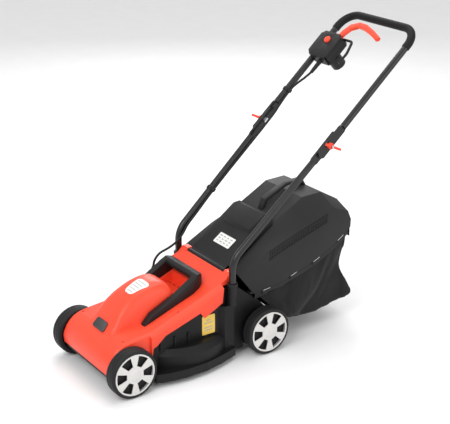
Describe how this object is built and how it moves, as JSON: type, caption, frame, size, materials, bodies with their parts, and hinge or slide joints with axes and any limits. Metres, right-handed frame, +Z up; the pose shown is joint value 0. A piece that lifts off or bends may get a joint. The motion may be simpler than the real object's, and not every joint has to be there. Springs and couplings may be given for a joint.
{
  "type": "electric push lawn mower",
  "caption": "Small corded rotary push mower: low wheeled deck with a domed motor hood, rear flap, hard-topped grass catcher, and a folding tubular push handle with a switch box and lever.",
  "frame": {"origin": "On the ground, at the middle of the whole machine's box.", "axes": "+Z up; +Y from the front wheels towards the grip; +X across, to the machine's side away from the switch box."},
  "size_m": [0.3652, 1.056, 0.8812],
  "materials": {
    "orange_plastic": "smooth moulded plastic, satin gloss",
    "black_plastic": "fine-grained moulded plastic",
    "soft_black": "ribbed soft grip",
    "tyre_black": "moulded tread",
    "cap_grey": "fine-grained grey plastic",
    "tube_black": "powder-coated steel tube",
    "steel": "bright steel",
    "zinc": "zinc-plated steel",
    "copper_core": "laminated iron with copper windings",
    "carbon": "graphite",
    "brass_pin": "plain brass",
    "blade_steel": "black-coated steel with a bright edge",
    "lead_rubber": "round rubber sheath",
    "label_white": "plain adhesive label",
    "badge_face": "plain badge plate",
    "bag_fabric": "coated woven cloth"
  },
  "bodies": {
    "deck": {"deck_shell": "black_plastic", "motor_housing": "steel", "motor_bearings": "steel", "stator": "copper_core", "motor_brushes": "carbon", "top_cover": "orange_plastic", "carry_handle": "black_plastic", "badge": "badge_face", "deck_labels": "label_white", "cover_screws": "zinc", "handle_sockets": "black_plastic", "lower_tube_left": "tube_black", "lower_tube_right": "tube_black", "wing_bolts": "zinc", "lead_lower": "lead_rubber", "lead_clip_lower": "black_plastic", "lead_gland": "black_plastic", "flap_rod": "steel", "flap_springs": "steel"},
    "front_axle_set": {"front_axle": "steel", "front_axle_nuts": "zinc"},
    "rear_axle_set": {"rear_axle": "steel", "rear_axle_nuts": "zinc"},
    "front_left_wheel": {"wheel_front_left": "tyre_black", "hubcap_front_left": "cap_grey"},
    "front_right_wheel": {"wheel_front_right": "tyre_black", "hubcap_front_right": "cap_grey"},
    "rear_left_wheel": {"wheel_rear_left": "tyre_black", "hubcap_rear_left": "cap_grey"},
    "rear_right_wheel": {"wheel_rear_right": "tyre_black", "hubcap_rear_right": "cap_grey"},
    "blade_rotor": {"motor_shaft": "steel", "rotor_core": "copper_core", "motor_fan": "black_plastic", "blade_holder": "black_plastic", "blade": "blade_steel", "blade_fasteners": "zinc"},
    "upper_handle_set": {"upper_handle": "tube_black", "grip_sleeve": "soft_black", "switch_box_upper": "black_plastic", "switch_box_lower": "black_plastic", "switch_module": "black_plastic", "inlet_pins": "brass_pin", "strain_relief": "black_plastic", "lead_upper": "lead_rubber", "lead_clip_upper": "black_plastic", "button_spring": "steel", "lever_spring": "steel"},
    "lever": {"switch_lever": "orange_plastic"},
    "button": {"lock_button": "orange_plastic"},
    "left_wing_nut": {"wing_nut_left": "orange_plastic"},
    "right_wing_nut": {"wing_nut_right": "orange_plastic"},
    "flap": {"rear_flap": "black_plastic", "flap_label": "label_white"},
    "catcher": {"catcher_lid": "black_plastic", "catcher_grip": "black_plastic", "catcher_bag": "bag_fabric", "catcher_frame": "tube_black", "hem_clips": "black_plastic"}
  },
  "joints": [
    {"name": "front_cut_height", "type": "slide", "parent": "deck", "child": "front_axle_set", "axis": [0, 0, 1], "range_m": [-0.03, 0]},
    {"name": "rear_cut_height", "type": "slide", "parent": "deck", "child": "rear_axle_set", "axis": [0, 0, 1], "range_m": [-0.03, 0]},
    {"name": "front_left_wheel_spin", "type": "hinge", "parent": "front_axle_set", "child": "front_left_wheel", "pos_m": [0.15, -0.458, 0.07], "axis": [1, 0, 0], "continuous": true},
    {"name": "front_right_wheel_spin", "type": "hinge", "parent": "front_axle_set", "child": "front_right_wheel", "pos_m": [-0.15, -0.458, 0.07], "axis": [1, 0, 0], "continuous": true},
    {"name": "rear_left_wheel_spin", "type": "hinge", "parent": "rear_axle_set", "child": "rear_left_wheel", "pos_m": [0.15, -0.013, 0.07], "axis": [1, 0, 0], "continuous": true},
    {"name": "rear_right_wheel_spin", "type": "hinge", "parent": "rear_axle_set", "child": "rear_right_wheel", "pos_m": [-0.15, -0.013, 0.07], "axis": [1, 0, 0], "continuous": true},
    {"name": "blade_spin", "type": "hinge", "parent": "deck", "child": "blade_rotor", "pos_m": [0, -0.243, 0.05], "axis": [0, 0, 1], "continuous": true},
    {"name": "handle_fold", "type": "hinge", "parent": "deck", "child": "upper_handle_set", "pos_m": [0, 0.19699, 0.58594], "axis": [-1, 0, 0], "range_deg": [-150, 0], "deforming": ["lead_upper", "lead_lower"]},
    {"name": "left_wing_nut_turn", "type": "hinge", "parent": "deck", "child": "left_wing_nut", "pos_m": [0.165, 0.19699, 0.58594], "axis": [1, 0, 0], "range_deg": [0, 720]},
    {"name": "right_wing_nut_turn", "type": "hinge", "parent": "deck", "child": "right_wing_nut", "pos_m": [-0.165, 0.19699, 0.58594], "axis": [-1, 0, 0], "range_deg": [0, 720]},
    {"name": "lever_squeeze", "type": "hinge", "parent": "upper_handle_set", "child": "lever", "pos_m": [-0.104, 0.43181, 0.80645], "axis": [0, -0.6639, 0.7478], "range_deg": [0, 12], "stiffness_Nm_per_rad": 0.3, "deforming": ["lever_spring"]},
    {"name": "button_press", "type": "slide", "parent": "upper_handle_set", "child": "button", "axis": [0, 0.6639, -0.7478], "range_m": [0, 0.004], "stiffness_N_per_m": 200, "deforming": ["button_spring"]},
    {"name": "flap_lift", "type": "hinge", "parent": "deck", "child": "flap", "pos_m": [0, -0.112, 0.254], "axis": [1, 0, 0], "range_deg": [0, 70], "stiffness_Nm_per_rad": 0.3},
    {"name": "catcher_lift_off", "type": "slide", "parent": "deck", "child": "catcher", "axis": [0, 0.8151, 0.5793], "range_m": [0, 0.15]}
  ]
}
